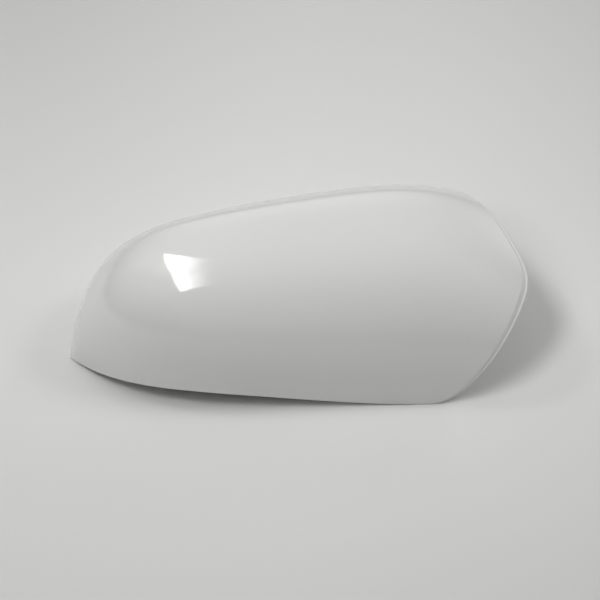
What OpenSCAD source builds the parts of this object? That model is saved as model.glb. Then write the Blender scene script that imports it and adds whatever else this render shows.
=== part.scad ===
// Wing mirror cover, left hand: one injection-moulded shell, painted outside,
// bare inside, lying on its rim with the crown up.
// Lengths run in X from the outer tip, Y is measured from the spine plane and
// Z from the table. The finished cover is centred over the origin at the end.

/* [Crown] */
// Length from the outer tip to the point of the vee, without the lip
body_len = 229; // [205:1:255]
// Height of the crown above the rim
height = 72.5; // [60:0.5:85]
// Wall thickness
wall = 2.5; // [2:0.1:3.2]
// Squareness of the cross-section, where 2 is an ellipse
square = 2.35; // [2.1:0.05:2.8]
// Shift of the crest towards the near rim
crest_shift = 6.7; // [0:0.1:10]
// Distance from the vee point back to where the roof starts to fall
fall_back = 73; // [55:1:90]
// Fall of the roof at the vee point
fall = 17.7; // [8:0.1:24]
// Power of the curve along which the roof falls
fall_power = 2.4; // [2.2:0.1:3.5]
// Power of the curve of the blunt nose, where more is blunter
nose_power = 7; // [4:0.5:9]
// Roundness of the nose where it meets the table
nose_round = 1.35; // [1.2:0.05:2]

/* [Rim] */
// Spine to the near rim
near_w = 63.2; // [55:0.1:72]
// How far the near rim curves in at the tip
near_pull = 38.4; // [30:0.1:44]
// Power of the near rim's curve
near_power = 6; // [4:0.5:8]
// Spine to the far rim at the widest station
far_w = 61.5; // [54:0.1:70]
// How far the far rim has come in at the tip
far_pull = 47.6; // [38:0.1:52]
// Length over which the far rim bends into its taper
far_blend = 84; // [60:1:120]
// Distance from the vee point back to the widest station
wide_back = 43; // [30:1:60]
// Height of the arch under the near rim
arch = 11.6; // [4:0.1:16]
// How far the tip's far corner is swept back
tip_sweep = 10; // [0:0.5:14]
// Length over which that sweep dies out
sweep_len = 90; // [70:1:110]
// Size of the broken edge all round the rim
edge = 0.4; // [0.2:0.05:0.6]

/* [Vee end] */
// Girth angle of the vee's point, from the crest towards the far rim
point_angle = -16.3; // [-30:0.1:10]
// Roundness of the vee's point, as a share of each arm
point_round = 0.17; // [0.1:0.01:0.4]
// Setback of the near arm's foot on the rim
near_back = 45.6; // [30:0.1:60]
// Bow of the near arm
near_bow = 1.67; // [1.3:0.01:2.2]
// Setback of the far arm's foot on the rim
far_back = 63; // [40:0.1:80]
// Bow of the far arm
far_bow = 1.3; // [1.1:0.01:2.2]
// Width of the rebated lip at the vee's point
lip_w = 3.6; // [2:0.1:5]
// Depth of the rebate
lip_step = 1.2; // [0.6:0.05:1.4]
// Length of the ramp down into the rebate
lip_ramp = 0.5; // [0.3:0.05:1]

/* [Snap hooks] */
// Width of each tongue
hook_w = 12; // [8:0.5:16]
// Thickness of each tongue
tongue_t = 2; // [1.6:0.1:2.6]
// Gap between the wall and a tongue
stand_off = 6; // [4.5:0.1:8]
// Height of a tongue's end above the rim
hook_low = 5; // [3:0.1:8]
// Reach of the catch
catch_d = 2.4; // [1.5:0.1:3.5]
// Height of the catch
catch_h = 6; // [4:0.1:8]
// Length of tongue left free below its gussets
free_len = 13; // [9:0.5:16]
// Thickness of gussets and ribs
rib_t = 1.4; // [1:0.1:1.8]
// Number of hooks along the near wall
near_hooks = 3; // [2:1:4]
// Number of hooks along the far wall
far_hooks = 2; // [2:1:3]
// First hook along a wall, from the tip
first_hook = 66; // [56:1:76]
// Last hook, back from the foot of the vee
last_hook = 22; // [16:1:30]

/* [Ribs] */
// Reach of each wall rib from the wall
rib_reach = 6; // [4:0.1:9]
// Height of a rib's foot above the rim
rib_low = 5; // [3:0.1:8]
// Place of the rib near the tip on each side wall
tip_rib = 36; // [30:1:44]

/* [Hidden] */
// Places along the length
wide_x = body_len - wide_back;
fall_x = body_len - fall_back;
near_x = body_len - near_back;
far_x = body_len - far_back;
// Rows along the length, columns round the girth
rows = 48;
cols = 40;
row_power = 1.6;
col_bias = 0.25;
last = rows + 2;
// Length near the tip over which the columns spread evenly
even_len = 30;
// Depth at which ribs and hooks are trimmed inside the wall
trim_d = wall / 2;
// Share of the lip left where the vee meets the rim, and the power of its fade
lip_min = 0.2;
lip_fade = 0.35;
// Height at which the trimming room is closed, below the table
below = -5;
// Radius on the nose of each catch
nose_r = 0.6;

// Plan lines of the two rims, and the stretch that turns a wall's thickness
// into a distance across the spine
function near_line(x) = -near_w + near_pull * pow(max(0, (wide_x - x) / wide_x), near_power);
function near_slope(x) = -near_pull * near_power / wide_x
    * pow(max(0, (wide_x - x) / wide_x), near_power - 1);
function far_reach(t) = sqrt(1 + t * t) - 1;
function far_line(x) = far_w
    - far_pull * far_reach((wide_x - x) / far_blend) / far_reach(wide_x / far_blend);
function far_slope(x) = let (t = (wide_x - x) / far_blend)
    far_pull / far_blend * t / sqrt(1 + t * t) / far_reach(wide_x / far_blend);
function stretch(slope) = sqrt(1 + slope * slope);

// Roof line: a blunt nose, a level crown and a fall towards the vee
function nose(x, d) = pow(
    max(0, 1 - pow(max(0, (fall_x - x) / (fall_x - d)), nose_power)), 1 / nose_round);
function fall_share(x) = max(0, (x - fall_x) / fall_back);
function fall_slope(x) = fall * fall_power / fall_back * pow(fall_share(x), fall_power - 1);
function roof(x, d) = (height - d * stretch(fall_slope(x))) * nose(x, d)
    - fall * pow(fall_share(x), fall_power);

// Arch of the near rim between its two feet
function rim(x) = let (u = min(1, max(0, x / near_x))) arch * 27 / 4 * u * pow(1 - u, 2);

// Sweep of the tip towards its far corner
function sweep(x, across) = tip_sweep * pow((1 + across) / 2, 3)
    * pow(max(0, 1 - x / sweep_len), 2);

// Cross-section: a point at girth angle a, from -90 on the near rim to 90 on
// the far rim, at depth d below the outer face
function swell(a) = pow(pow(abs(sin(a)), square) + pow(abs(cos(a)), square), -1 / square);
function skin(x, a, d) = let (
    near_y = near_line(x) + d * stretch(near_slope(x)),
    far_y = far_line(x) - d * stretch(far_slope(x)),
    mid_y = (near_y + far_y) / 2 - crest_shift * nose(x, d),
    across = sin(a) * swell(a),
    up = cos(a) * swell(a),
    y = across < 0 ? mid_y + (mid_y - near_y) * across : mid_y + (far_y - mid_y) * across,
    base = rim(x) * (1 - across) / 2)
    [x + sweep(x, across), y, base + (roof(x, d) - base) * up];

// The same point lifted clear of the rim plane by the broken edge
function lifted(x, a, d) = let (
    p = skin(x, a, d),
    base = rim(x) * (1 - sin(a) * swell(a)) / 2)
    [p.x, p.y, base + sqrt(pow(p.z - base, 2) + edge * edge)];

// Vee: how far along each girth line the body and its lip reach
function arm(a) = let (
    span = a < point_angle ? 90 + point_angle : 90 - point_angle,
    m = abs(a - point_angle) / span)
    (sqrt(m * m + point_round * point_round) - point_round)
        / (sqrt(1 + point_round * point_round) - point_round);
function vee(a) = a < point_angle
    ? body_len - near_back * (1 - pow(max(0, 1 - arm(a)), 1 / near_bow))
    : body_len - far_back * (1 - pow(max(0, 1 - arm(a)), 1 / far_bow));
function fade(a) = lip_min + (1 - lip_min) * pow(1 - abs(a) / 90, lip_fade);
function vee_slope(a) = let (b = max(-88, min(88, a)))
    (vee(b + 1) - vee(b - 1)) / (2 * PI / 180) / ((near_w + far_w) / 2);
function lip(a) = lip_w * fade(a) * min(3, stretch(vee_slope(a)));

// Columns follow the girth, and spread evenly over the flat sections at the tip
function column(j) = let (s = 2 * j / cols - 1) s * (1 + col_bias * (1 - s * s));
function girth(v, x) = let (
    s = pow(max(0, 1 - x / even_len), 2),
    flat = atan2(v, pow(max(0, 1 - pow(abs(v), square)), 1 / square)))
    90 * v * (1 - s) + flat * s;
function row_x(i, v, d, inset) = let (a = 90 * v)
    i <= rows ? d + (vee(a) - d) * pow(i / rows, row_power)
    : i == rows + 1 ? vee(a) + lip_ramp * fade(a)
    : vee(a) + lip(a) - inset;
function row_d(i, v) = i <= rows ? 0 : lip_step * fade(90 * v);
function at(i, j, d, inset) = let (v = column(j), x = row_x(i, v, d, inset)) [x, girth(v, x), d];

// Grid indices around the free edge, starting at the tip on the near rim
loop = concat(
    [for (i = [0 : last]) [i, 0]],
    [for (j = [1 : cols]) [last, j]],
    [for (i = [last - 1 : -1 : 0]) [i, cols]],
    [for (j = [cols - 1 : -1 : 1]) [0, j]]);
turns = len(loop);

function outer_pt(i, j) = let (q = at(i, j, row_d(i, column(j)), edge)) lifted(q.x, q.y, q.z);
function inner_pt(i, j) = let (q = at(i, j, wall, edge)) lifted(q.x, q.y, q.z);
function rim_pt(i, j, d) = let (q = at(i, j, d, 0)) skin(q.x, q.y, q.z);

// Two triangles from each square of four grid points
function split(a, b, c, d) = [[a, c, b], [a, d, c]];
function grid_faces(start, flip) = [
    for (i = [0 : last - 1], j = [0 : cols - 1])
        let (a = start + i * (cols + 1) + j, b = a + cols + 1)
        each flip ? split(a, a + 1, b + 1, b) : split(a, b, b + 1, a + 1)];
function band_faces(from, to) = [
    for (k = [0 : turns - 1]) let (n = (k + 1) % turns) each split(from[k], to[k], to[n], from[n])];

// The moulded wall as one closed skin: outer face, broken edges, inner face
module shell() {
    grid = (last + 1) * (cols + 1);
    outer_pts = [for (i = [0 : last], j = [0 : cols]) outer_pt(i, j)];
    inner_pts = [for (i = [0 : last], j = [0 : cols]) inner_pt(i, j)];
    rim_out = [for (q = loop) rim_pt(q[0], q[1], row_d(q[0], column(q[1])) + edge)];
    rim_in = [for (q = loop) rim_pt(q[0], q[1], wall - edge)];
    outer_ring = [for (q = loop) q[0] * (cols + 1) + q[1]];
    inner_ring = [for (k = outer_ring) k + grid];
    rim_out_ring = [for (k = [0 : turns - 1]) 2 * grid + k];
    rim_in_ring = [for (k = [0 : turns - 1]) 2 * grid + turns + k];
    polyhedron(
        points = concat(outer_pts, inner_pts, rim_out, rim_in),
        faces = concat(
            grid_faces(0, false),
            grid_faces(grid, true),
            band_faces(outer_ring, rim_out_ring),
            band_faces(rim_out_ring, rim_in_ring),
            band_faces(rim_in_ring, inner_ring)),
        convexity = 6);
}

// Room inside the middle of the wall, closed below the table
module room() {
    grid = (last + 1) * (cols + 1);
    pts = [for (i = [0 : last], j = [0 : cols])
        let (q = at(i, j, trim_d, 0)) skin(q.x, q.y, q.z)];
    ring = [for (q = loop) q[0] * (cols + 1) + q[1]];
    foot = [for (k = ring) [pts[k].x, pts[k].y, below]];
    foot_ring = [for (k = [0 : turns - 1]) grid + k];
    centre = grid + turns;
    polyhedron(
        points = concat(pts, foot, [[body_len / 2, 0, below]]),
        faces = concat(
            grid_faces(0, false),
            band_faces(ring, foot_ring),
            [for (k = [0 : turns - 1]) [foot_ring[k], foot_ring[(k + 1) % turns], centre]]),
        convexity = 6);
}

// Snap hook with its back to the wall at Y = 0 and its foot over the rim.
// Its tongue and gussets run up to the roof, where the room trims them.
module snap_hook(top) {
    hull() {
        translate([-hook_w / 2, stand_off, hook_low + tongue_t])
            cube([hook_w, tongue_t, top - hook_low - tongue_t]);
        translate([-hook_w / 2, stand_off + tongue_t / 2, hook_low + tongue_t / 2])
            rotate([0, 90, 0])
                cylinder(h = hook_w, d = tongue_t, $fn = 24);
    }
    hull() {
        translate([-hook_w / 2, stand_off + tongue_t / 2, hook_low + tongue_t / 2])
            cube([hook_w, tongue_t / 2, catch_h - tongue_t / 2]);
        translate([-hook_w / 2, stand_off + tongue_t + catch_d - nose_r, hook_low + catch_h - nose_r])
            rotate([0, 90, 0])
                cylinder(h = hook_w, r = nose_r, $fn = 16);
    }
    for (side = [-hook_w / 2, hook_w / 2 - rib_t])
        translate([side, -wall, hook_low + free_len])
            cube([rib_t, wall + stand_off + tongue_t / 2, top - hook_low - free_len]);
}

// Upright rib across a wall, its foot cut back at 45 degrees
module wall_rib(top) {
    translate([-rib_t / 2, 0, 0])
        rotate([90, 0, 90])
            linear_extrude(rib_t)
                polygon([
                    [-wall, rib_low],
                    [0, rib_low],
                    [rib_reach, rib_low + rib_reach],
                    [rib_reach, top],
                    [-wall, top]]);
}

// Stand a feature on the near wall, the far wall or the tip wall
module on_near(x) {
    translate([x, near_line(x) + wall * stretch(near_slope(x)), rim(x)])
        rotate(atan(near_slope(x)))
            children();
}
module on_far(x) {
    translate([x + sweep(x, 1), far_line(x) - wall * stretch(far_slope(x)), 0])
        rotate(180 + atan(far_slope(x)))
            children();
}
module on_tip() {
    translate([wall + sweep(0, 0), (near_line(0) + far_line(0)) / 2, 0])
        rotate(-90)
            children();
}

// Even places between a first and a last one
function places(a, b, n) = [for (k = [0 : n - 1]) a + (b - a) * k / (n - 1)];
function between(list) = [for (k = [0 : len(list) - 2]) (list[k] + list[k + 1]) / 2];
near_places = places(first_hook, near_x - last_hook, near_hooks);
far_places = places(first_hook, far_x - last_hook, far_hooks);

module hooks() {
    for (x = near_places)
        on_near(x)
            snap_hook(height);
    for (x = far_places)
        on_far(x)
            snap_hook(height);
    on_tip()
        snap_hook(height);
}

module ribs() {
    for (x = concat([tip_rib], between(near_places)))
        on_near(x)
            wall_rib(height);
    for (x = concat([tip_rib], between(far_places)))
        on_far(x)
            wall_rib(height);
}

// Middle of the finished cover, so that its box stands over the origin
skin_y = [for (i = [0 : last], j = [0 : cols]) outer_pt(i, j).y];
vee_end = max([for (j = [0 : cols]) rim_pt(last, j, row_d(last, column(j)) + edge).x]);
mid_y = (min(skin_y) + max(skin_y)) / 2;
mid_x = vee_end / 2;

module mirror_cover() {
    color([0.95, 0.95, 0.94])
        translate([-mid_x, -mid_y, 0])
            union() {
                shell();
                intersection() {
                    room();
                    union() {
                        hooks();
                        ribs();
                    }
                }
            }
}

mirror_cover();
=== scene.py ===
import bpy
import math
import numpy as np
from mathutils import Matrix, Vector


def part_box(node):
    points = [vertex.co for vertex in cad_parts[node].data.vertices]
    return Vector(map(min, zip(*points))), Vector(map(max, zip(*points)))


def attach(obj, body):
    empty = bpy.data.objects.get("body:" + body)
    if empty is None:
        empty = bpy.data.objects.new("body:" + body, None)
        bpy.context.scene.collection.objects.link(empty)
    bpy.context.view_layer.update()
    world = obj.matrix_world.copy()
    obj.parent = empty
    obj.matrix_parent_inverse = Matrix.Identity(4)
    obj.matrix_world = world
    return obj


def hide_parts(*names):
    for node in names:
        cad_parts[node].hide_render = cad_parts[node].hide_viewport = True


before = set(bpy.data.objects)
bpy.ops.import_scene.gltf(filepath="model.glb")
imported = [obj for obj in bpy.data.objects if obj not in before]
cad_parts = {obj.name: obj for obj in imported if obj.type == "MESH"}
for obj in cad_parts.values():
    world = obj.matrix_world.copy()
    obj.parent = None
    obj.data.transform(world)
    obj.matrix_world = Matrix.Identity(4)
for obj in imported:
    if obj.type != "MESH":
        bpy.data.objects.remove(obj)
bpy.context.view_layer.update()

# Camera. It looks down at 45 degrees, a little from the left, from three
# quarters of a metre away. The lens and shift give a 600 pixel frame in which
# a millimetre at the cover is 1.92 pixels.
azimuth, elevation = math.radians(-2.2), math.radians(45)
distance, aim = 0.75, Vector((0, 0.0011, 0.025))
frame_pixels, pixels_per_m = 600, 1922
back = Vector((math.sin(azimuth) * math.cos(elevation),
               -math.cos(azimuth) * math.cos(elevation),
               math.sin(elevation)))
lens = bpy.data.cameras.new("photo_lens")
lens.sensor_width = 36
lens.lens = lens.sensor_width * pixels_per_m * distance / frame_pixels
lens.shift_x = 0.0123
lens.shift_y = -0.0266
camera = bpy.data.objects.new("camera", lens)
camera.location = aim + back * distance
camera.rotation_euler = back.to_track_quat("Z", "Y").to_euler()
bpy.context.collection.objects.link(camera)
bpy.context.scene.camera = camera

# The moulded wall. One shell of ABS with a level crown, a blunt nose at the outer
# tip, an arched near rim and a vee end. Its form is the part's own, in
# millimetres: x from the outer tip, y from the spine and z from the table.
MM = 0.001
body_len, height, wall, edge = 229, 72.5, 2.5, 0.5
# Across: a squared ellipse with its crest nearer to the viewer
square, crest_shift = 2.35, 6.7
# Along: the roof falls towards the vee, and the nose drops over the tip
fall_back, fall, fall_power = 73, 17.7, 2.4
nose_power, nose_round = 7, 1.35
# In plan: two lines that are widest at the same place and pull in to the tip
wide_back, near_w, near_pull, near_power = 43, 63.2, 38.4, 6
far_w, far_pull, far_blend = 61.5, 47.6, 84
# The near rim arches off the table, and the tip is swept back on its far side
arch, tip_sweep, sweep_len = 11.6, 10, 90
# The vee: its rounded point, and how far back and how bowed its two arms are
point_angle, point_round = -16.3, 0.17
near_back, near_bow, far_back, far_bow = 45.6, 1.67, 63, 1.3
# The lip past the vee: its width, the share of it left at the two feet, its drop
# and the soft start as a share of the drop's run
lip_w, lip_least, lip_fade, lip_drop, soft_start = 3.6, 0.2, 0.35, 1.2, 0.12
# The bead on the lip's edge: its height, where it starts as a share of the lip's
# width, and the girth angle at which it ends and over which it dies out
bead, bead_start, bead_end, bead_fade = 0.3, 0.75, 5, 20
wide_x, fall_x, near_x = body_len - wide_back, body_len - fall_back, body_len - near_back


def near_line(x):
    return -near_w + near_pull * np.maximum(0, (wide_x - x) / wide_x) ** near_power


def near_slope(x):
    share = np.maximum(0, (wide_x - x) / wide_x)
    return -near_pull * near_power / wide_x * share ** (near_power - 1)


def far_reach(share):
    return np.sqrt(1 + share * share) - 1


def far_line(x):
    return far_w - far_pull * far_reach((wide_x - x) / far_blend) / far_reach(wide_x / far_blend)


def far_slope(x):
    share = (wide_x - x) / far_blend
    return far_pull / far_blend * share / np.sqrt(1 + share * share) / far_reach(wide_x / far_blend)


def stretch(slope):
    return np.sqrt(1 + slope * slope)


def nose(x, depth):
    """Share of the roof's height that the nose leaves, from 0 at the tip to 1."""
    share = np.clip((fall_x - x) / (fall_x - depth), 0, 1)
    return (1 - share ** nose_power) ** (1 / nose_round)


def roof(x, depth):
    share = np.maximum(0, (x - fall_x) / fall_back)
    slope = fall * fall_power / fall_back * share ** (fall_power - 1)
    return (height - depth * stretch(slope)) * nose(x, depth) - fall * share ** fall_power


def rim(x):
    """Height of the near rim, which peaks at a third of the way to its foot."""
    share = np.clip(x / near_x, 0, 1)
    return arch * 27 / 4 * share * (1 - share) ** 2


def sweep(x, across):
    return tip_sweep * ((1 + across) / 2) ** 3 * np.maximum(0, 1 - x / sweep_len) ** 2


def section(x, depth):
    """The near edge, the crest and the far edge of the face at a depth."""
    near_y = near_line(x) + depth * stretch(near_slope(x))
    far_y = far_line(x) - depth * stretch(far_slope(x))
    return near_y, (near_y + far_y) / 2 - crest_shift * nose(x, depth), far_y


def skin(x, girth, depth, lift):
    """Points of the face at a girth angle in degrees, lifted off the rim."""
    near_y, mid_y, far_y = section(x, depth)
    turned = np.radians(girth)
    swell = (np.abs(np.sin(turned)) ** square + np.abs(np.cos(turned)) ** square) ** (-1 / square)
    across, up = np.sin(turned) * swell, np.maximum(0, np.cos(turned)) * swell
    y = mid_y + np.where(across < 0, mid_y - near_y, far_y - mid_y) * across
    base = rim(x) * (1 - across) / 2
    rise = (roof(x, depth) - base) * up
    z = base + np.sqrt(rise ** 2 + lift ** 2)
    return np.stack(np.broadcast_arrays(x + sweep(x, across), y, z), -1)


def arm(girth):
    """Share of the way from the vee's point down one of its arms."""
    span = np.where(girth < point_angle, 90 + point_angle, 90 - point_angle)
    share = np.abs(girth - point_angle) / span
    whole = math.sqrt(1 + point_round ** 2) - point_round
    return (np.sqrt(share * share + point_round ** 2) - point_round) / whole


def vee(girth):
    near = girth < point_angle
    back_by, bow = np.where(near, near_back, far_back), np.where(near, near_bow, far_bow)
    return body_len - back_by * (1 - np.maximum(0, 1 - arm(girth)) ** (1 / bow))


def fade(girth):
    """The lip dies out towards the two feet of the vee."""
    return lip_least + (1 - lip_least) * (1 - np.abs(girth) / 90) ** lip_fade


def lip(girth):
    """Length of the lip along x, up to three times longer where the vee slants."""
    held = np.clip(girth, -88, 88)
    slope = (vee(held + 1) - vee(held - 1)) / math.radians(2) / ((near_w + far_w) / 2)
    return lip_w * fade(girth) * np.minimum(3, stretch(slope))


# Grid of the wall: body rows crowd towards the nose, lip rows round the lip's
# soft start and its bead, and columns spread evenly over the flat sections at
# the tip.
body_rows, columns, tip_crowding, middle_spread, flat_len = 150, 128, 1.6, 1.25, 30
body_share = np.linspace(0, 1, body_rows + 1) ** tip_crowding
lip_share = np.array([0.03, 0.06, 0.09, 0.25, 0.5, 0.75, 0.8, 0.85, 0.9, 0.95, 1])
rows = body_rows + len(lip_share)
row_share = np.concatenate([body_share, 1 + lip_share])
even = np.linspace(-1, 1, columns + 1)
girth_share = even * (middle_spread + (1 - middle_spread) * even ** 2)


def grid_point(row, column, depth, lift):
    """Points of the face for arrays of row and column numbers."""
    side, past_vee = girth_share[column], np.maximum(0, row_share[row] - 1)
    girth = 90 * side
    x = depth + (vee(girth) - depth) * np.minimum(row_share[row], 1)
    x = np.where(past_vee > 0, vee(girth) + (lip(girth) - lift) * past_vee, x)
    flatness = np.maximum(0, 1 - x / flat_len) ** 2
    flat = np.degrees(np.arctan2(side, np.maximum(0, 1 - np.abs(side) ** square) ** (1 / square)))
    return skin(x, girth * (1 - flatness) + flat * flatness, depth, lift)


def lip_depth(row, column):
    """Depth of the outer face below the crown's: nothing, then the lip, which
    slopes away evenly after a soft start and ends in a small raised bead, which
    dies out on the far arm."""
    past_vee, girth = row_share[row] - 1, 90 * girth_share[column]
    down = np.clip(past_vee / bead_start, 0, 1)
    drop = lip_drop * np.where(down < soft_start, down * down / (2 * soft_start), down - soft_start / 2)
    up = np.clip((past_vee - bead_start) / (1 - bead_start), 0, 1)
    rise = bead * np.clip((bead_end - girth) / bead_fade, 0, 1) * up * up * (3 - 2 * up)
    return fade(girth) * (drop - rise)


grid_rows, grid_columns = np.meshgrid(np.arange(rows + 1), np.arange(columns + 1), indexing="ij")
outer = grid_point(grid_rows, grid_columns, lip_depth(grid_rows, grid_columns), edge)
inner = grid_point(grid_rows, grid_columns, np.full(grid_rows.shape, float(wall)), edge)

# The cut edge of the wall: rings round the border of the grid, a quarter round
# from the outer face, a short flat, and a quarter round back to the inner face.
border = ([(row, 0) for row in range(rows + 1)]
          + [(rows, column) for column in range(1, columns + 1)]
          + [(row, columns) for row in range(rows - 1, -1, -1)]
          + [(0, column) for column in range(columns - 1, 0, -1)])
border_rows, border_columns = np.array(border).T
turns = np.radians([22.5, 45, 67.5, 90])
flat_ring = 1.3 * edge
edge_depth = np.concatenate([edge * (1 - np.cos(turns)), [flat_ring]])
edge_lift = np.concatenate([edge * (1 - np.sin(turns)), [0]])
border_depth = lip_depth(border_rows, border_columns)
rings = []
for depth, lift in zip(edge_depth, edge_lift):
    rings.append(grid_point(border_rows, border_columns, border_depth + depth, lift))
for depth, lift in zip(edge_depth[::-1], edge_lift[::-1]):
    rings.append(grid_point(border_rows, border_columns, np.full(border_rows.shape, wall - depth), lift))

# The form is measured from the tip and the spine, so it moves to the frame's box
low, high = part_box("mirror_cover")
shift = np.array([low.x / MM - outer[..., 0].min(), low.y / MM - outer[..., 1].min(), 0])
points = np.concatenate([outer.reshape(-1, 3), inner.reshape(-1, 3)] + rings) + shift
points = np.clip(points, np.array(low) / MM, np.array(high) / MM)
grid_size = (rows + 1) * (columns + 1)


def grid_faces(start, inward):
    row, column = np.meshgrid(np.arange(rows), np.arange(columns), indexing="ij")
    first = (start + row * (columns + 1) + column).ravel()
    below = first + columns + 1
    quad = [first, first + 1, below + 1, below] if inward else [first, below, below + 1, first + 1]
    return np.stack(quad, 1).tolist()


def band_faces(ring, next_ring):
    faces = []
    for place in range(len(border)):
        following = (place + 1) % len(border)
        faces.append([ring[place], next_ring[place], next_ring[following], ring[following]])
    return faces


ring_ids = [[row * (columns + 1) + column for row, column in border]]
for number in range(len(rings)):
    start = 2 * grid_size + number * len(border)
    ring_ids.append(list(range(start, start + len(border))))
ring_ids.append([point + grid_size for point in ring_ids[0]])
painted = grid_faces(0, False)
bare = grid_faces(grid_size, True)
for number in range(len(ring_ids) - 1):
    side = painted if number <= len(turns) else bare
    side += band_faces(ring_ids[number], ring_ids[number + 1])


def new_piece(name, verts, faces, materials):
    """A smooth piece from points in millimetres."""
    mesh = bpy.data.meshes.new(name)
    mesh.from_pydata((np.asarray(verts) * MM).tolist(), [], faces)
    for material in materials:
        mesh.materials.append(material)
    mesh.polygons.foreach_set("use_smooth", [True] * len(mesh.polygons))
    mesh.update()
    piece = bpy.data.objects.new(name, mesh)
    bpy.context.collection.objects.link(piece)
    return piece


class Wire:
    """A shader socket that can be added, multiplied and fed on to other nodes."""

    def __init__(self, tree, socket):
        self.tree, self.socket = tree, socket

    def node(self, kind, settings=None, out=0, **inputs):
        """Any node: its settings first, then its sockets by name, or i0, i1 and on."""
        made = self.tree.nodes.new(kind)
        for key, value in (settings or {}).items():
            setattr(made, key, value)
        for key, value in inputs.items():
            port = made.inputs[int(key[1:])] if key[1:].isdigit() else made.inputs[key]
            if isinstance(value, Wire):
                self.tree.links.new(value.socket, port)
            else:
                port.default_value = value
        return Wire(self.tree, made.outputs[out])

    def maths(self, operation, other=0.0):
        return self.node("ShaderNodeMath", {"operation": operation}, i0=self, i1=other)

    def reflected(self, operation, other):
        return self.node("ShaderNodeMath", {"operation": operation}, i0=other, i1=self)

    def __add__(self, other):
        return self.maths("ADD", other)

    def __mul__(self, other):
        return self.maths("MULTIPLY", other)

    def __sub__(self, other):
        return self.maths("SUBTRACT", other)

    def __truediv__(self, other):
        return self.maths("DIVIDE", other)

    def __radd__(self, other):
        return self.reflected("ADD", other)

    def __rmul__(self, other):
        return self.reflected("MULTIPLY", other)

    def __rsub__(self, other):
        return self.reflected("SUBTRACT", other)

    def __rtruediv__(self, other):
        return self.reflected("DIVIDE", other)

    def along(self, direction):
        """Length of this vector along a direction."""
        return self.node("ShaderNodeVectorMath", {"operation": "DOT_PRODUCT"}, out=1,
                         i0=self, i1=direction)

    def step(self, start, stop, low=0.0, high=1.0):
        """A smooth change from low to high between start and stop."""
        return self.node("ShaderNodeMapRange", {"interpolation_type": "SMOOTHSTEP"},
                         i0=self, i1=start, i2=stop, i3=low, i4=high)

    def mix(self, first, second):
        return self.node("ShaderNodeMix", {"data_type": "RGBA"}, out=2, i0=self, i6=first, i7=second)

    def into(self, port):
        self.tree.links.new(self.socket, port)


def finish(name):
    """A new material, its shader, and the place on the object as a wire."""
    material = bpy.data.materials.new(name)
    material.use_nodes = True
    shader = material.node_tree.nodes["Principled BSDF"]
    place = Wire(material.node_tree, None).node("ShaderNodeTexCoord", out=3)
    return material, shader, place


# Outside: polished white, sprayed and clear-coated. The lacquer has a slight
# orange peel, the colour drifts by less than a hundredth over the panel, and a
# hair of a sink line shows where the first near rib stands inside.
tip_rib, sink_depth, sink_half_width, peel_height = 36, 0.014, 0.7, 0.002
gloss, shader, place = finish("gloss_white")
shader.inputs["IOR"].default_value = 1.5
shader.inputs["Coat Weight"].default_value = 1.0
shader.inputs["Coat Roughness"].default_value = 0.03
drift = place.node("ShaderNodeTexNoise", Vector=place, Scale=18.0, Detail=2.0)
drift.mix((0.732, 0.737, 0.712, 1), (0.752, 0.753, 0.730, 1)).into(shader.inputs["Base Color"])
(drift * 0.04 + 0.08).into(shader.inputs["Roughness"])
peel_mm = place.node("ShaderNodeTexNoise", Vector=place, Scale=260.0, Detail=1.0) * peel_height
rib_turn = math.atan(float(near_slope(tip_rib)))
rib_along = (math.cos(rib_turn) * (tip_rib + float(shift[0]))
             + math.sin(rib_turn) * (float(near_line(tip_rib)) + float(shift[1])))
off_rib = ((place.along((math.cos(rib_turn), math.sin(rib_turn), 0)) - MM * rib_along)
           / (sink_half_width * MM))
sink_mm = (sink_depth / (1 + off_rib * off_rib)
           * place.along((0, 1, 0)).step(-0.030, -0.020, 1, 0)
           * place.along((0, 0, 1)).step(0.022, 0.030, 1, 0))
place.node("ShaderNodeBump", Height=peel_mm - sink_mm, Strength=1.0,
           Distance=MM).into(shader.inputs["Normal"])

# Inside: the bare plastic as it left the tool, satin, with a fine spark-eroded
# grain, slow flow shading and the round marks of the ejector pins under the roof.
grain_height, pin_depth, pin_r, pin_edge = 0.006, 0.08, 0.003, 0.0002
half_pitch_x, half_pitch_y, under_roof = 0.0225, 0.018, 0.035
satin, shader, place = finish("moulded_white")
shader.inputs["IOR"].default_value = 1.5
flow = place.node("ShaderNodeTexNoise", Vector=place, Scale=30.0, Detail=3.0)
flow.mix((0.73, 0.735, 0.71, 1), (0.78, 0.78, 0.76, 1)).into(shader.inputs["Base Color"])
(flow * 0.15 + 0.38).into(shader.inputs["Roughness"])
grain_mm = place.node("ShaderNodeTexNoise", Vector=place, Scale=1800.0, Detail=2.0) * grain_height
pin_x = place.along((1, 0, 0)).maths("PINGPONG", half_pitch_x)
pin_y = place.along((0, 1, 0)).maths("PINGPONG", half_pitch_y)
pin_mm = ((pin_x * pin_x + pin_y * pin_y).step((pin_r - pin_edge) ** 2, (pin_r + pin_edge) ** 2, pin_depth, 0)
          * place.along((0, 0, 1)).step(under_roof - MM, under_roof + MM))
place.node("ShaderNodeBump", Height=grain_mm - pin_mm, Strength=1.0,
           Distance=MM).into(shader.inputs["Normal"])

shell = new_piece("cover_shell", points, painted + bare, [gloss, satin])
inside = np.zeros(len(shell.data.polygons), int)
inside[len(painted):] = 1
shell.data.polygons.foreach_set("material_index", inside)
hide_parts("mirror_cover")
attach(shell, "root")


# Snap hooks. Three tongues stand off the near wall, two off the far wall and
# one off the tip wall. Each has a ramped catch that faces the middle and two
# gussets back to the wall, all moulded in one with the shell.
hook_w, tongue_t, stand_off, hook_low, free_len = 12, 2, 6, 5, 13
catch_d, catch_h, nose_r, gusset_t = 2.4, 6, 0.6, 1.4
first_hook, last_hook = 66, 22
far_x = body_len - far_back


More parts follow.
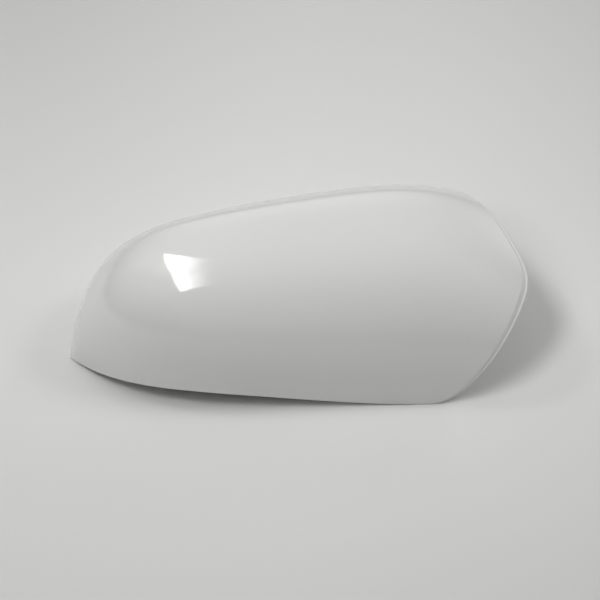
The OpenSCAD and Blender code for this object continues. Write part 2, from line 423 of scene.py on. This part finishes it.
def skin_height(x, y, depth):
    """Height of the face at a depth, over a point in plan."""
    run = x
    for _ in range(3):
        near_y, mid_y, far_y = section(run, depth)
        across = np.clip((y - mid_y) / np.where(y < mid_y, mid_y - near_y, far_y - mid_y), -1, 1)
        run = np.maximum(x - sweep(x, across), depth)
    base = rim(run) * (1 - across) / 2
    return base + (roof(run, depth) - base) * (1 - np.abs(across) ** square) ** (1 / square)


class Seat:
    """A place on a wall: across runs along the wall, inward away from it."""

    def __init__(self, x, y, z, angle):
        self.origin, self.angle = (x, y, z), angle

    def plan(self, across, inward):
        c, s = math.cos(self.angle), math.sin(self.angle)
        return self.origin[0] + c * across - s * inward, self.origin[1] + s * across + c * inward

    def top(self, across, inward):
        """Height of the middle of the wall above the seat."""
        x, y = self.plan(across, inward)
        return float(skin_height(x, y, wall / 2)) - self.origin[2]

    def point(self, across, inward, up):
        return (*self.plan(across, inward), self.origin[2] + up)


def on_near(x):
    return Seat(x, near_line(x) + wall * stretch(near_slope(x)), rim(x), math.atan(near_slope(x)))


def on_far(x):
    return Seat(x + sweep(x, 1), far_line(x) - wall * stretch(far_slope(x)), 0,
                math.pi + math.atan(far_slope(x)))


def on_tip():
    return Seat(wall + sweep(0, 0), (near_line(0) + far_line(0)) / 2, 0, -math.pi / 2)


class Moulding:
    """Gathers slabs that share one mesh, each a profile carried across a wall."""

    def __init__(self):
        self.verts, self.faces = [], []

    def slab(self, seat, stations, profile):
        """profile(seat, across) gives as many (inward, up) pairs at each station."""
        start = len(self.verts)
        for across in stations:
            outline = profile(seat, across)
            self.verts += [seat.point(across, inward, up) for inward, up in outline]
        n, last = len(outline), start + (len(stations) - 1) * len(outline)
        for here in range(start, last, n):
            there = here + n
            self.faces += [[here + k, here + (k + 1) % n, there + (k + 1) % n, there + k] for k in range(n)]
        self.faces.append([start + k for k in range(n)][::-1])
        self.faces.append([last + k for k in range(n)])

    def finished(self, name):
        """The piece, in bare plastic, with its sharp edges just broken."""
        piece = new_piece(name, np.array(self.verts) + shift, self.faces, [satin])
        piece.data.polygons.foreach_set("use_smooth", [False] * len(piece.data.polygons))
        soften = piece.modifiers.new("soft_edges", "BEVEL")
        soften.width = 0.25 * MM
        soften.segments = 2
        soften.limit_method = "ANGLE"
        soften.angle_limit = math.radians(40)
        return piece


def tongue_outline(seat, across):
    foot_r, back_face, front_face = tongue_t / 2, stand_off, stand_off + tongue_t
    catch_top = hook_low + catch_h
    foot = [(back_face + foot_r * (1 - math.cos(turn)), hook_low + foot_r * (1 - math.sin(turn)))
            for turn in np.radians([0, 30, 60, 90])]
    tip_in, tip_up = front_face + catch_d - nose_r, catch_top - nose_r
    ramp = [(tip_in + nose_r * math.cos(turn), tip_up + nose_r * math.sin(turn))
            for turn in np.radians([-40, 0, 45, 90])]
    back_top, front_top = [(inward, max(seat.top(across, inward), catch_top + 1))
                           for inward in (back_face, front_face)]
    return [back_top] + foot + ramp + [(front_face, catch_top - 0.01), front_top]


def fin_outline(seat, across, foot, slant, reach):
    """A fin from inside the wall to reach, under the curved wall, with a slanted foot."""
    start = next(inward for inward in np.arange(-wall / 2, reach, 0.1) if seat.top(across, inward) > foot)
    steps = np.linspace(start, reach, 12)
    bottoms = [foot + slant * max(0, inward / reach) for inward in steps]
    tops = [max(seat.top(across, inward), low + 0.05) for inward, low in zip(steps, bottoms)]
    return list(zip(steps, bottoms)) + list(zip(steps, tops))[::-1]


def gusset_outline(seat, across):
    return fin_outline(seat, across, hook_low + free_len, 0, stand_off + tongue_t / 2)


near_places = np.linspace(first_hook, near_x - last_hook, 3)
far_places = np.linspace(first_hook, far_x - last_hook, 2)
hooks = Moulding()
for seat in [on_near(x) for x in near_places] + [on_far(x) for x in far_places] + [on_tip()]:
    hooks.slab(seat, np.linspace(-hook_w / 2, hook_w / 2, 5), tongue_outline)
    for side in (-hook_w / 2, hook_w / 2 - gusset_t):
        hooks.slab(seat, [side, side + gusset_t], gusset_outline)
snap_hooks = hooks.finished("snap_hooks")
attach(snap_hooks, "root")

# Wall ribs. Low fins that stiffen both side walls, one near the tip and one
# between each two hooks, moulded in one with the shell, with slanted feet.
rib_t, rib_foot, rib_slant, rib_reach = 1.4, 5, 6, 6


def rib_outline(seat, across):
    return fin_outline(seat, across, rib_foot, rib_slant, rib_reach)


def rib_places(hook_places):
    return [tip_rib] + [(x + next_x) / 2 for x, next_x in zip(hook_places, hook_places[1:])]


ribs = Moulding()
for seat in [on_near(x) for x in rib_places(near_places)] + [on_far(x) for x in rib_places(far_places)]:
    ribs.slab(seat, [-rib_t / 2, rib_t / 2], rib_outline)
wall_ribs = ribs.finished("wall_ribs")
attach(wall_ribs, "root")

# Table. A pale matt sheet that runs on past every edge of the picture. Its
# colour holds painted shade: it darkens a little towards the front and the two
# sides, where its light falls off.
sheet, brightest_x = 4000, 0.055
table, shader, place = finish("table_white")
# Painted shade: the sheet's colour falls away from brightest_x and towards the front
from_middle = (place.along((1, 0, 0)) - brightest_x).maths("ABSOLUTE")
(place.along((0, 1, 0)).step(-0.36, 0.05, 0.62, 1) * from_middle.step(0.02, 0.26, 1, 0.85)).mix(
    (0, 0, 0, 1), (0.763, 0.766, 0.753, 1)).into(shader.inputs["Base Color"])
shader.inputs["Roughness"].default_value = 0.6
floor = new_piece("table", [(-sheet, -sheet, 0), (sheet, -sheet, 0), (sheet, sheet, 0), (-sheet, sheet, 0)],
                  [[0, 1, 2, 3]], [table])


# Studio light. Panels hang about a metre over the table and face down. The key,
# left of the cover, casts the shadow beside the vee, and the others only fill.
def panel(name, centre, width, depth, radiance, in_gloss=False):
    data = bpy.data.lights.new(name, "AREA")
    data.shape = "RECTANGLE"
    data.size, data.size_y = width, depth
    data.energy = radiance * math.pi * width * depth
    lamp = bpy.data.objects.new(name, data)
    lamp.location = centre
    lamp.visible_glossy, lamp.visible_diffuse = in_gloss, not in_gloss
    bpy.context.collection.objects.link(lamp)
    return data


panel("key", (-0.42, -0.32, 1), 0.28, 0.32, 18)
panel("front_left", (-0.6, -0.7, 1), 0.3, 0.3, 10.5)
panel("left_back", (-0.62, 0.2, 1), 0.24, 0.24, 10.5)
panel("top_fill", (0.2, 0, 1), 0.76, 0.36, 1.5)
panel("right_fill", (0.8, 0, 1), 0.36, 0.36, 9.8)
panel("right_low", (1.4, 0, 0.8), 0.4, 0.4, 5.5)
panel("right_back", (1.2, 1.2, 1), 0.6, 0.6, 3.6)
panel("far_left", (-1.2, 1.2, 1), 0.6, 0.6, 1.4)
panel("far_fill", (0, 2.6, 1.2), 2.4, 0.8, 1.6)

# Softbox. What the gloss mirrors on the near shoulder: a four-sided screen to the
# left, bright along its outer side, clouding away towards the middle, in a faint
# halo. Each side is a line in plan, given by where it crosses an axis and its lean.
left_x, left_lean, back_y, back_lean, front_y, front_lean = -0.31, 0.16, 0.112, 1.42, -0.216, 0.86
screen = panel("softbox", (-0.28, 0.1, 0.75), 0.44, 1.4, 1, in_gloss=True)
screen.use_nodes = True
glare = screen.node_tree.nodes["Emission"]
spot = Wire(screen.node_tree, None).node("ShaderNodeNewGeometry", out=0)
spot_x, spot_y = spot.along((1, 0, 0)), spot.along((0, 1, 0))
left_side = (spot_x - left_x + spot_y.maths("MAXIMUM", 0.0) * left_lean).step(-0.01, 0.01)
back_side = (spot_y + spot_x * back_lean - back_y).step(-0.012, 0.012, 1, 0)
front_side = (spot_y - spot_x * front_lean - front_y).step(-0.012, 0.012)
cloud = spot.node("ShaderNodeTexNoise", Vector=spot, Scale=14.0, Detail=3.0)
fading = (spot_x + (cloud - 0.5) * 0.08).step(-0.22, -0.08, 1, 0)
halo = spot.node("ShaderNodeVectorMath", {"operation": "DISTANCE"}, out=1,
                 i0=spot, i1=(-0.36, 0.2, 0.75)).step(0.03, 0.3, 0.07, 0)
(left_side * back_side * front_side * (0.6 * fading + spot_x.step(-0.25, -0.19, 0.4, 0))
 + halo).into(glare.inputs["Color"])
glare.inputs["Strength"].default_value = 8.0

# Room. Soft light from low behind the table and from its two far corners, and a
# little from the front and from high on the left. The rest of the room is dark.
room = bpy.data.worlds.new("room")
room.use_nodes = True
sky = room.node_tree.nodes["Background"]
look = Wire(room.node_tree, None).node("ShaderNodeTexCoord", out=0)


def glow(direction, power, level):
    """Light from one side of the room, fading away from its direction."""
    return look.along(Vector(direction).normalized()).maths("MAXIMUM", 0.0).maths("POWER", power) * level


(glow((0, 1, 0.12), 24, 0.38) + glow((0.7, 0.7, 0.12), 24, 0.76) + glow((-0.7, 0.7, 0.12), 24, 0.08)
 + glow((0, -1, 0.2), 12, 0.15) + glow((0, 1, 0.25), 6, 0.44)
 + glow((-0.55, 0.6, 0.6), 60, 0.4)).into(sky.inputs["Color"])
bpy.context.scene.world = room
bpy.context.scene.view_settings.view_transform = "Standard"
